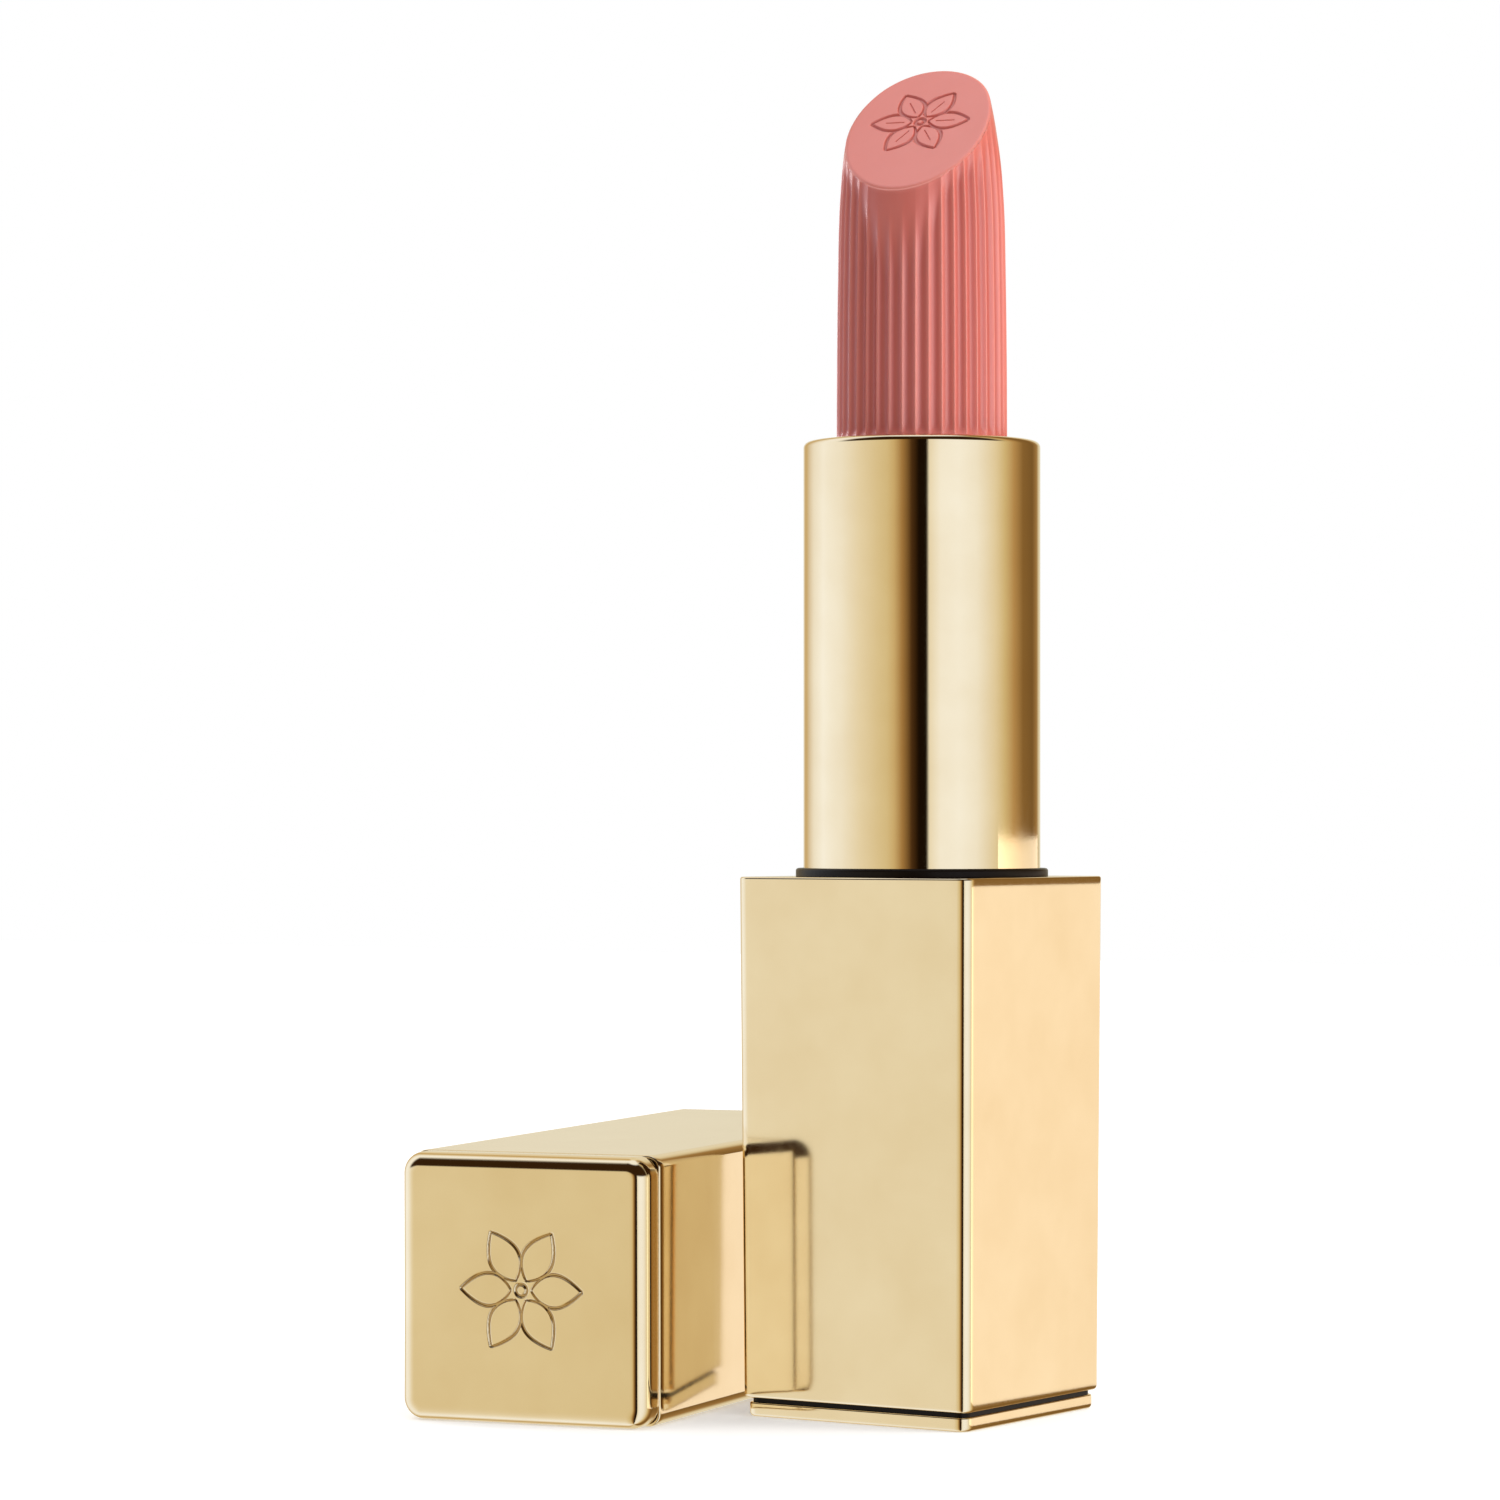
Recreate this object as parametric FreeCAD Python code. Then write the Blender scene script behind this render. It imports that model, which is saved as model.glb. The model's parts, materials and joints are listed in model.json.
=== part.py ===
import FreeCAD, Part
import math
import os

os.makedirs("parts", exist_ok=True)

V = FreeCAD.Vector
ORIGIN = V(0, 0, 0)
UP = V(0, 0, 1)
ALONG_X = V(1, 0, 0)

# ------------------------------------------------------ dimensions in millimetres
# Base case: square in plan and slightly narrower towards the floor
base_height = 38.0
base_top_side = 19.1
base_foot_side = 18.65
sleeve_wall = 0.5
sleeve_top_wall = 0.6
sleeve_corner = 0.9
sleeve_inner_corner = 0.45
sleeve_bottom_z = 1.32
foot_round = 0.3
rim_round = 0.16
seam_round = 0.12

# Foot plate, the paper label under it and the plug that shows as a dark groove
plate_side = 18.1
plate_height = 1.0
plate_corner = 0.9
label_radius = 6.2
label_recess = 0.15
label_margin = 0.3
groove_side = 17.7
plug_corner = 0.8
plug_top_z = 3.0

# Insert inside the base with the weight's pocket, the refill's socket and the clip
liner_gap = 0.05
liner_top_gap = 0.03
liner_corner = 0.5
liner_floor_z = 16.6
socket_floor_z = 17.5
socket_ledge_z = 24.3
socket_radius = 7.6
liner_bore = 8.5
weight_side = 14.8
weight_gap = 0.1
weight_chamfer = 0.4
pocket_side = 15.0
clip_outer = 8.25
clip_inner = 7.65
clip_low_z = 20.6
clip_high_z = 21.4
clip_split = 5.0
clip_play = 0.2
clip_groove_depth = 0.1

# Dark collar round the foot of the gold tube
collar_outer = 8.95
collar_inner = 8.46
collar_skirt = 8.66
collar_skirt_depth = 0.55
collar_proud = 0.6
collar_round = 0.2
sleeve_hole = 8.71

# Refill core
foot_radius = 7.5
foot_gap = 0.1
foot_hollow_radius = 5.6
foot_roof = 1.4
foot_clip_groove = 7.15
foot_flange_radius = 7.95
foot_flange_top = 25.6
foot_neck_top = 27.4
foot_neck_gap = 0.03
key_width = 2.0
key_reach = 8.2
key_low_z = 18.0
key_height = 4.6
key_play = 0.1
tube_inner = 6.7
tube_outer = 7.2
tube_top = 67.4
tube_slot_width = 2.0
tube_slot_play = 0.2
friction_radius = 7.73
friction_wire = 0.31
friction_groove_floor = 7.35
friction_groove_half = 0.35
friction_rise = 0.7

# Twisting shell
shell_outer = 8.4
shell_inner = 8.1
shell_bottom = 24.7
shell_top = 68.8
shell_round = 0.42
rim_inner = 6.95
rim_thickness = 0.35
rim_chamfer = 0.12
rim_fillet = 0.15
cam_inner = 7.27
cam_outer = 8.05
cam_bottom = 26.0
cam_top = 60.6
helix_pitch = 23.0
helix_turns = 1.2
travel = helix_pitch * helix_turns
helix_slot_height = 2.3
helix_cut_inner = 6.9
helix_cut_outer = 8.5
helix_end_radius = 1.02
bushing_gap = 0.05
bushing_top_gap = 0.75

# Carrier cup and stick, drawn in the raised position
cup_outer = 6.6
cup_inner = 6.1
cup_bottom = 56.0
cup_height = 11.2
cup_floor = 0.8
lug_radius = 0.9
lug_reach = 7.95
lug_root = 6.3
lug_rise = 1.5
stick_radius = 6.08
stick_shoulder_z = 68.5
stick_flute_z = 68.0
flute_count = 40
flute_depth = 0.17
face_level = 91.95
face_slope = 44.8
face_turn = 12.7

# The stick's side above the shoulder, as (radius, height)
stick_ogive = [
    (6.05, 75.0),
    (5.99, 80.0),
    (5.83, 86.0),
    (5.59, 88.9),
    (5.38, 90.4),
    (5.15, 91.8),
    (4.83, 93.3),
    (4.38, 94.8),
    (3.7, 96.1),
    (2.3, 97.3),
    (0.0, 97.9),
]

# Crest radius of the flutes against height
flute_crests = [(6.12, 68.0), (6.02, 80.0), (5.88, 86.0), (5.88, 100.0)]

# Cap, drawn upright on its closed end and then laid on its side
cap_length = 50.0
cap_mouth_side = 19.1
cap_end_side = 18.75
cap_end_depth = 2.4
cap_end_corner = 1.5
cap_end_round = 1.1
cap_seam = 0.15
cap_core_depth = 1.6
cap_core_dish_radius = 4.0
cap_core_dish_depth = 0.5
cap_lining_floor = 0.9
cap_lining_set_back = 0.25
cap_bore = 8.72
cap_mouth_bore = 8.92
cap_lead_in = 0.7
grip_set_back = 6.0
grip_groove_height = 2.0
grip_groove_radius = 8.86
grip_outer = 8.83
grip_inner = 8.6
grip_play = 0.1

# Where the cap lies: its near lower corner, and its turn about the vertical
cap_turn = 11.5
cap_corner_x = -9.75
cap_corner_y = -20.4

# How far a cutting tool runs past the surface that it cuts
overrun = 1.0


# ------------------------------------------------------------------- helpers
def square_wire(side, radius, z):
    """A square with rounded corners at height z."""
    half = side / 2.0
    straight = half - radius
    middle = straight + radius * math.sqrt(0.5)
    edges = []
    for i in range(4):
        turn = FreeCAD.Rotation(UP, 90.0 * i)
        a = turn.multVec(V(half, -straight, z))
        b = turn.multVec(V(half, straight, z))
        c = turn.multVec(V(middle, middle, z))
        d = turn.multVec(V(straight, half, z))
        edges.append(Part.makeLine(a, b))
        edges.append(Part.Arc(b, c, d).toShape())
    return Part.Wire(edges)


def square_block(side_low, side_high, z_low, z_high, radius):
    low = square_wire(side_low, radius, z_low)
    high = square_wire(side_high, radius, z_high)
    return Part.makeLoft([low, high], True, True)


def disc(radius, z_low, z_high):
    return Part.makeCylinder(radius, z_high - z_low, V(0, 0, z_low))


def ring(outer, inner, z_low, z_high):
    return disc(outer, z_low, z_high).cut(disc(inner, z_low - overrun, z_high + overrun))


def edges_at(shape, z, outside=0.0):
    """The shape's edges that lie level at height z and reach out past a distance from the axis."""
    found = []
    for edge in shape.Edges:
        box = edge.BoundBox
        level = abs(box.ZMin - z) < 1e-4 and abs(box.ZMax - z) < 1e-4
        reach = max(abs(box.XMin), abs(box.XMax), abs(box.YMin), abs(box.YMax))
        if level and reach >= outside:
            found.append(edge)
    return found


def revolve(edges):
    return Part.Face(Part.Wire(edges)).revolve(ORIGIN, UP, 360)


def save(name, shape):
    if shape.ShapeType != "Solid" and len(shape.Solids) == 1:
        shape = shape.Solids[0]
    shape.exportStep("parts/" + name + ".step")
    print(name, shape.isValid(), len(shape.Solids), round(shape.Volume, 2))


# ----------------------------------------------------------------- base case
def base_side(z):
    share = (z - sleeve_bottom_z) / (base_height - sleeve_bottom_z)
    return base_foot_side + share * (base_top_side - base_foot_side)


def bottom_plate():
    plate = square_block(plate_side, plate_side, 0.0, plate_height, plate_corner)
    plate = plate.makeFillet(foot_round, edges_at(plate, 0.0))
    plate = plate.makeFillet(seam_round, edges_at(plate, plate_height))
    return plate.cut(disc(label_radius + label_margin, -overrun, label_recess))


def shade_label():
    return disc(label_radius, 0.0, label_recess)


def base_plug():
    groove = square_block(groove_side, groove_side, plate_height, sleeve_bottom_z, plug_corner)
    boss = square_block(weight_side, weight_side, sleeve_bottom_z, plug_top_z, plug_corner)
    return groove.fuse(boss).removeSplitter()


hollow_top_z = base_height - sleeve_top_wall


def base_sleeve():
    sleeve = square_block(base_foot_side, base_top_side, sleeve_bottom_z, base_height, sleeve_corner)
    sleeve = sleeve.makeFillet(foot_round, edges_at(sleeve, sleeve_bottom_z))
    sleeve = sleeve.makeFillet(rim_round, edges_at(sleeve, base_height))
    low = base_side(sleeve_bottom_z) - 2.0 * sleeve_wall
    high = base_side(hollow_top_z) - 2.0 * sleeve_wall
    hollow = square_block(low, high, sleeve_bottom_z, hollow_top_z, sleeve_inner_corner)
    under = square_block(low, low, sleeve_bottom_z - overrun, sleeve_bottom_z, sleeve_inner_corner)
    hole = disc(sleeve_hole, hollow_top_z - overrun, base_height + overrun)
    return sleeve.cut(hollow).cut(under).cut(hole)


def base_liner():
    low_z = sleeve_bottom_z + liner_gap
    high_z = hollow_top_z - liner_top_gap
    low = base_side(low_z) - 2.0 * (sleeve_wall + liner_gap)
    high = base_side(high_z) - 2.0 * (sleeve_wall + liner_gap)
    liner = square_block(low, high, low_z, high_z, liner_corner)
    liner = liner.cut(disc(liner_bore, socket_ledge_z, high_z + overrun))
    liner = liner.cut(disc(socket_radius, socket_floor_z, socket_ledge_z + overrun))
    liner = liner.cut(square_block(pocket_side, pocket_side, 0.0, liner_floor_z, plate_corner))
    room_low_z = key_low_z - key_play - clip_play
    room_width = key_width + 2.0 * key_play
    room = Part.makeBox(key_reach + key_play, room_width, socket_ledge_z - room_low_z)
    room.translate(V(0.0, -room_width / 2.0, room_low_z))
    liner = liner.cut(room)
    groove_radius = clip_outer + clip_groove_depth
    groove = ring(groove_radius, socket_radius - clip_play, clip_low_z - clip_play, clip_high_z + clip_play)
    return liner.cut(groove)


def base_weight():
    top_z = liner_floor_z - weight_gap
    weight = square_block(weight_side, weight_side, plug_top_z, top_z, plug_corner)
    return weight.makeChamfer(weight_chamfer, edges_at(weight, top_z))


def refill_clip():
    clip = ring(clip_outer, clip_inner, clip_low_z, clip_high_z)
    split = Part.makeBox(clip_outer + overrun, clip_split, clip_high_z - clip_low_z + 2.0 * overrun)
    split.translate(V(0.0, -clip_split / 2.0, clip_low_z - overrun))
    return clip.cut(split)


def collar_ring():
    top_z = base_height + collar_proud
    collar = ring(collar_outer, collar_inner, base_height, top_z)
    collar = collar.makeFillet(collar_round, edges_at(collar, top_z, outside=collar_outer - 0.05))
    skirt = ring(collar_skirt, collar_inner, base_height - collar_skirt_depth, base_height)
    return collar.fuse(skirt).removeSplitter()


# --------------------------------------------------------------- refill core
lug_raised_z = cup_bottom + lug_rise
lug_lowered_z = lug_raised_z - travel
friction_z = socket_ledge_z + friction_rise


def refill_foot():
    foot = disc(foot_radius, socket_floor_z + foot_gap, socket_ledge_z)
    hollow = disc(foot_hollow_radius, socket_floor_z, socket_ledge_z - foot_roof)
    key = Part.makeBox(key_reach, key_width, key_height, V(0.0, -key_width / 2.0, key_low_z))
    clip_room = ring(
        liner_bore,
        foot_clip_groove,
        clip_low_z - clip_play - key_play,
        clip_high_z + clip_play + key_play,
    )
    foot = foot.fuse(key).cut(hollow).cut(clip_room)
    flange = disc(foot_flange_radius, socket_ledge_z, foot_flange_top)
    flange = flange.cut(
        ring(
            liner_bore,
            friction_groove_floor,
            friction_z - friction_groove_half,
            friction_z + friction_groove_half,
        )
    )
    neck = disc(tube_inner - foot_neck_gap, foot_flange_top, foot_neck_top)
    return foot.fuse(flange).fuse(neck).removeSplitter()


def inner_tube():
    tube = ring(tube_outer, tube_inner, foot_flange_top, tube_top)
    low_z = lug_lowered_z - tube_slot_play
    high_z = lug_raised_z + tube_slot_play
    half = tube_slot_width / 2.0
    span = 2.0 * (tube_outer + overrun)
    slot = Part.makeBox(span, tube_slot_width, high_z - low_z, V(-span / 2.0, -half, low_z))
    for z in (low_z, high_z):
        slot = slot.fuse(Part.makeCylinder(half, span, V(-span / 2.0, 0.0, z), ALONG_X))
    return tube.cut(slot)


def friction_ring():
    return Part.makeTorus(friction_radius, friction_wire, V(0, 0, friction_z))


# ------------------------------------------------------------ twisting shell
def outer_shell():
    bend_r = shell_outer - shell_round
    bend_z = shell_top - shell_round
    diagonal = shell_round * math.sqrt(0.5)
    under_rim = shell_top - rim_thickness
    p = [
        V(shell_inner, 0, shell_bottom),
        V(shell_outer, 0, shell_bottom),
        V(shell_outer, 0, bend_z),
        V(bend_r, 0, shell_top),
        V(rim_inner + rim_chamfer, 0, shell_top),
        V(rim_inner, 0, shell_top - rim_chamfer),
        V(rim_inner, 0, under_rim),
        V(shell_inner - rim_fillet, 0, under_rim),
        V(shell_inner, 0, under_rim - rim_fillet),
    ]
    bend = Part.Arc(p[2], V(bend_r + diagonal, 0, bend_z + diagonal), p[3]).toShape()
    edges = [Part.makeLine(p[0], p[1]), Part.makeLine(p[1], p[2]), bend]
    for i in range(3, len(p)):
        edges.append(Part.makeLine(p[i], p[(i + 1) % len(p)]))
    return revolve(edges)


def helix_track():
    """The room that one lug sweeps: a strip of the slot's height between two radii, wound up a helix."""
    half = helix_slot_height / 2.0
    wires = []
    for radius in (helix_cut_inner, helix_cut_outer):
        for rise in (-half, half):
            helix = Part.makeHelix(helix_pitch, travel, radius)
            helix.translate(V(0, 0, rise))
            wires.append(Part.Wire(helix.Edges))
    in_low, in_high, out_low, out_high = wires
    faces = []
    for first, second in ((in_low, in_high), (out_low, out_high), (in_low, out_low), (in_high, out_high)):
        faces += Part.makeRuledSurface(first, second).Faces
    for end in (0, -1):
        points = [wire.Vertexes[end].Point for wire in (in_low, in_high, out_high, out_low)]
        faces.append(Part.Face(Part.makePolygon(points + points[:1])))
    skin = Part.makeShell(faces)
    skin.sewShape()
    return Part.makeSolid(skin)


def helix_end(turns, rise):
    """The round end of a helical slot, after a number of turns."""
    turn = FreeCAD.Rotation(UP, 360.0 * turns)
    depth = helix_cut_outer - helix_cut_inner
    start = turn.multVec(V(helix_cut_inner, 0, rise))
    return Part.makeCylinder(helix_end_radius, depth, start, turn.multVec(ALONG_X))


def cam_sleeve():
    cam = ring(cam_outer, cam_inner, cam_bottom, cam_top)
    # turned so that the raised lugs stand at the slots' upper ends
    for start in (0.0, 180.0):
        for tool in (helix_track(), helix_end(0.0, 0.0), helix_end(helix_turns, travel)):
            tool.rotate(ORIGIN, UP, start - 360.0 * helix_turns)
            tool.translate(V(0, 0, lug_lowered_z))
            cam = cam.cut(tool)
    return cam


def rim_bushing():
    return ring(cam_outer, cam_inner, cam_top + bushing_gap, shell_top - bushing_top_gap)


# ------------------------------------------------------------- carrier, stick
def carrier_cup():
    top_z = cup_bottom + cup_height
    cup = disc(cup_outer, cup_bottom, top_z)
    cup = cup.cut(disc(cup_inner, cup_bottom + cup_floor, top_z + overrun))
    lugs = Part.makeCylinder(lug_radius, 2.0 * lug_reach, V(-lug_reach, 0, lug_raised_z), ALONG_X)
    lugs = lugs.cut(disc(lug_root, lug_raised_z - 2.0 * lug_radius, lug_raised_z + 2.0 * lug_radius))
    return cup.fuse(lugs).removeSplitter()


def stick_blank():
    """The moulded stick before its flutes and slanted face: a straight root and an ogive above it."""
    foot = V(0, 0, cup_bottom + cup_floor)
    corner = V(stick_radius, 0, foot.z)
    side = [V(stick_radius, 0, stick_shoulder_z)]
    for radius, z in stick_ogive:
        side.append(V(radius, 0, z))
    curve = Part.BSplineCurve()
    curve.interpolate(side)
    edges = [
        Part.makeLine(foot, corner),
        Part.makeLine(corner, side[0]),
        curve.toShape(),
        Part.makeLine(side[-1], foot),
    ]
    return revolve(edges)


def flute_wire(crest, z):
    """A ring of shallow hollows that meet at their crests."""
    step = 2.0 * math.pi / flute_count
    radii = (crest, crest - flute_depth, crest)
    edges = []
    for i in range(flute_count):
        angles = [(i + share) * step for share in (-0.5, 0.0, 0.5)]
        points = [V(r * math.cos(a), r * math.sin(a), z) for r, a in zip(radii, angles)]
        edges.append(Part.Arc(*points).toShape())
    return Part.Wire(edges)


def lipstick_bullet():
    blank = stick_blank()
    fluted = Part.makeLoft([flute_wire(crest, z) for crest, z in flute_crests], True, True)
    root = blank.common(disc(shell_inner, cup_bottom - overrun, stick_flute_z))
    reach = 2.0 * cap_mouth_side
    above = Part.makeBox(reach, reach, reach, V(-reach / 2.0, -reach / 2.0, 0.0))
    above.rotate(ORIGIN, ALONG_X, face_slope)
    above.rotate(ORIGIN, UP, face_turn)
    above.translate(V(0, 0, face_level))
    upper = blank.common(fluted).cut(above)
    return root.fuse(upper).removeSplitter()


# ----------------------------------------------------------------------- cap
cap_lean = math.degrees(math.atan((cap_mouth_side - cap_end_side) / 2.0 / cap_length))
seam_top = cap_end_depth + cap_seam
core_top = cap_end_depth + cap_core_depth
lining_top = cap_length - cap_lining_set_back
grip_z = cap_length - grip_set_back


def lay_down(shape):
    """Lays an upright piece of the cap on its side, at its place beside the base."""
    across = FreeCAD.Rotation(UP, cap_turn).multVec(ALONG_X)
    laid = shape.copy()
    laid.rotate(ORIGIN, ALONG_X, -90.0 + cap_lean)
    laid.translate(V(0, 0, cap_end_side / 2.0 * math.cos(math.radians(cap_lean))))
    laid.rotate(ORIGIN, UP, cap_turn)
    laid.translate(V(cap_corner_x, cap_corner_y, 0) - across * (cap_end_side / 2.0))
    return laid


def cap_side(z):
    return cap_end_side + (cap_mouth_side - cap_end_side) * z / cap_length


def lining_side(z):
    return cap_side(z) - 2.0 * (sleeve_wall + liner_gap)


def cap_end():
    end = square_block(cap_side(0.0), cap_side(cap_end_depth), 0.0, cap_end_depth, cap_end_corner)
    end = end.makeFillet(cap_end_round, edges_at(end, 0.0))
    return end.makeFillet(seam_round, edges_at(end, cap_end_depth))


def cap_sleeve():
    sleeve = square_block(cap_side(seam_top), cap_side(cap_length), seam_top, cap_length, sleeve_corner)
    sleeve = sleeve.makeFillet(seam_round, edges_at(sleeve, seam_top))
    sleeve = sleeve.makeFillet(rim_round, edges_at(sleeve, cap_length))
    low = cap_side(seam_top) - 2.0 * sleeve_wall
    high = cap_side(cap_length) - 2.0 * sleeve_wall
    hollow = square_block(low, high, seam_top, cap_length, sleeve_inner_corner)
    below = square_block(low, low, seam_top - overrun, seam_top, sleeve_inner_corner)
    above = square_block(high, high, cap_length, cap_length + overrun, sleeve_inner_corner)
    return sleeve.cut(hollow).cut(below).cut(above)


def cap_core():
    side = lining_side(cap_end_depth)
    core = square_block(side, side, cap_end_depth, core_top, liner_corner)
    return core.cut(disc(cap_core_dish_radius, core_top - cap_core_dish_depth, core_top + overrun))


def cap_liner():
    lining = square_block(lining_side(core_top), lining_side(lining_top), core_top, lining_top, liner_corner)
    lining = lining.cut(disc(cap_bore, core_top + cap_lining_floor, lining_top + overrun))
    lead_in = Part.makeCone(cap_bore, cap_mouth_bore, cap_lead_in, V(0, 0, lining_top - cap_lead_in))
    groove = disc(grip_groove_radius, grip_z, grip_z + grip_groove_height)
    return lining.cut(lead_in).cut(groove)


def cap_grip_ring():
    return ring(grip_outer, grip_inner, grip_z + grip_play, grip_z + grip_groove_height - grip_play)


for make in (
    bottom_plate,
    shade_label,
    base_plug,
    base_sleeve,
    base_liner,
    base_weight,
    refill_clip,
    collar_ring,
    refill_foot,
    inner_tube,
    friction_ring,
    outer_shell,
    cam_sleeve,
    rim_bushing,
    carrier_cup,
    lipstick_bullet,
):
    save(make.__name__, make())

for make in (cap_sleeve, cap_end, cap_core, cap_liner, cap_grip_ring):
    save(make.__name__, lay_down(make()))
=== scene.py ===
import json
import math

import bpy
import numpy as np
from mathutils import Matrix, Vector


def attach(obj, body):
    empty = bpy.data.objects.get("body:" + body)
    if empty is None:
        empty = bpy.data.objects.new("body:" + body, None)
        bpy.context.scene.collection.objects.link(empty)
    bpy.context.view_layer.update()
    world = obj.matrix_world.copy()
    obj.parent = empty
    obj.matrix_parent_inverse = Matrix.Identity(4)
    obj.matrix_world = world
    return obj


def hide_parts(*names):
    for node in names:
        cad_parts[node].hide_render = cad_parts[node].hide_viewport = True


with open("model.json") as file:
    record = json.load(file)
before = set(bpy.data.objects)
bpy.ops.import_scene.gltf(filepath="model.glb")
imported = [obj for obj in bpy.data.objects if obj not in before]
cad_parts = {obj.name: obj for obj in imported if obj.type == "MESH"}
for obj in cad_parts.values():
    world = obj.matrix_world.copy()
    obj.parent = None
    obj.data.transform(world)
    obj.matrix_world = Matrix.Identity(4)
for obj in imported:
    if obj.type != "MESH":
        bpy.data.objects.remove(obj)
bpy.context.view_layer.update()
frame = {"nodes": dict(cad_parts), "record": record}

MM = 0.001

# ------------------------------------------------------------ the CAD's sizes
BASE_HEIGHT = 38.0
BASE_TOP_SIDE = 19.1
BASE_FOOT_SIDE = 18.65
SLEEVE_BOTTOM_Z = 1.32
SLEEVE_WALL = 0.5
SLEEVE_TOP_WALL = 0.6
SLEEVE_HOLE = 8.71
PLATE_SIDE = 18.1
PLATE_HEIGHT = 1.0
LABEL_RADIUS = 6.2
LABEL_RECESS = 0.15
COLLAR_OUTER = 8.95
COLLAR_INNER = 8.46
COLLAR_SKIRT = 8.66
COLLAR_PROUD = 0.6
SHELL_OUTER = 8.4
SHELL_INNER = 8.1
SHELL_BOTTOM = 24.7
SHELL_TOP = 68.8
RIM_INNER = 6.95
STICK_FOOT_Z = 56.8
FLUTES = 40
FLUTE_DEPTH = 0.25
STICK_ENGRAVING = 0.15
END_ENGRAVING = 0.12
FACE_LEVEL = 91.95
FACE_SLOPE = math.tan(math.radians(44.8))
FACE_TURN = math.radians(12.7)
CAP_LENGTH = 50.0
CAP_MOUTH_SIDE = 19.1
CAP_END_SIDE = 18.75
CAP_END_DEPTH = 2.4
CAP_END_CORNER = 1.5
CAP_END_ROUND = 1.1
CAP_SEAM = 0.15
CAP_CORE_TOP = 4.0
CAP_BORE = 8.72
CAP_TURN = math.radians(11.5)
CAP_CORNER = (-9.75, -20.4)
CAP_LEAN = math.atan((CAP_MOUTH_SIDE - CAP_END_SIDE) / 2.0 / CAP_LENGTH)

# the camera looks level along this heading, a turn about +Z from +Y
HEADING = math.radians(33.5)
CAMERA_BACK = 355.0
CAMERA_SIDE = -12.2
CAMERA_HEIGHT = 42.0
SENSOR_WIDTH = 36.0
LENS = 120.0
# the level line lies this share of the picture's width below its middle
HORIZON_DROP = 7.0 / 150.0


# ------------------------------------------------------------------ node help
class Nodes:
    """Short-hand for building a node tree."""

    def __init__(self, tree):
        self.tree = tree
        self.tree.nodes.clear()

    def add(self, kind, **settings):
        node = self.tree.nodes.new(kind)
        for key, value in settings.items():
            setattr(node, key, value)
        return node

    def link(self, source, target):
        self.tree.links.new(source, target)

    def put(self, socket, value):
        if isinstance(value, bpy.types.NodeSocket):
            self.link(value, socket)
        else:
            socket.default_value = value

    def math(self, operation, a, b=0.0, c=0.0, clamp=False):
        node = self.add("ShaderNodeMath", operation=operation, use_clamp=clamp)
        for i, value in enumerate((a, b, c)):
            self.put(node.inputs[i], value)
        return node.outputs[0]

    def dot(self, vector, axis):
        node = self.add("ShaderNodeVectorMath", operation="DOT_PRODUCT")
        self.link(vector, node.inputs[0])
        node.inputs[1].default_value = axis
        return node.outputs["Value"]

    def ramp(self, factor, stops, interpolation="LINEAR"):
        node = self.add("ShaderNodeValToRGB")
        node.color_ramp.interpolation = interpolation
        elements = node.color_ramp.elements
        while len(elements) > 1:
            elements.remove(elements[-1])
        elements[0].position = stops[0][0]
        elements[0].color = (*stops[0][1], 1.0)
        for position, colour in stops[1:]:
            elements.new(position).color = (*colour, 1.0)
        self.put(node.inputs["Fac"], factor)
        return node.outputs["Color"]

    def mix(self, factor, a, b, blend="MIX"):
        node = self.add("ShaderNodeMix", data_type="RGBA", blend_type=blend)
        self.put(node.inputs["Factor"], factor)
        for name, value in (("A", a), ("B", b)):
            socket = [s for s in node.inputs if s.name == name and s.type == "RGBA"][0]
            self.put(socket, value if isinstance(value, bpy.types.NodeSocket) else (*value, 1.0))
        return [s for s in node.outputs if s.type == "RGBA"][0]

    def noise(self, scale, detail=2.0, rough=0.5, stretch=(1, 1, 1)):
        place = self.add("ShaderNodeTexCoord").outputs["Object"]
        shift = self.add("ShaderNodeMapping")
        shift.inputs["Scale"].default_value = stretch
        self.link(place, shift.inputs["Vector"])
        node = self.add("ShaderNodeTexNoise")
        node.inputs["Scale"].default_value = scale
        node.inputs["Detail"].default_value = detail
        node.inputs["Roughness"].default_value = rough
        self.link(shift.outputs[0], node.inputs["Vector"])
        return node.outputs["Fac"]

    def bump(self, height, strength, distance, under=None):
        node = self.add("ShaderNodeBump")
        node.inputs["Strength"].default_value = strength
        node.inputs["Distance"].default_value = distance
        self.link(height, node.inputs["Height"])
        if under is not None:
            self.link(under, node.inputs["Normal"])
        return node.outputs[0]

    def spread(self, factor, low, high):
        node = self.add("ShaderNodeMapRange")
        self.link(factor, node.inputs["Value"])
        node.inputs["From Min"].default_value = 0.25
        node.inputs["From Max"].default_value = 0.75
        node.inputs["To Min"].default_value = low
        node.inputs["To Max"].default_value = high
        return node.outputs[0]


def new_material(name, **values):
    material = bpy.data.materials.new(name)
    material.use_nodes = True
    n = Nodes(material.node_tree)
    shader = n.add("ShaderNodeBsdfPrincipled")
    out = n.add("ShaderNodeOutputMaterial")
    n.link(shader.outputs[0], out.inputs["Surface"])
    for key, value in values.items():
        shader.inputs[key.replace("_", " ")].default_value = value
    return material, n, shader


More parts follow.
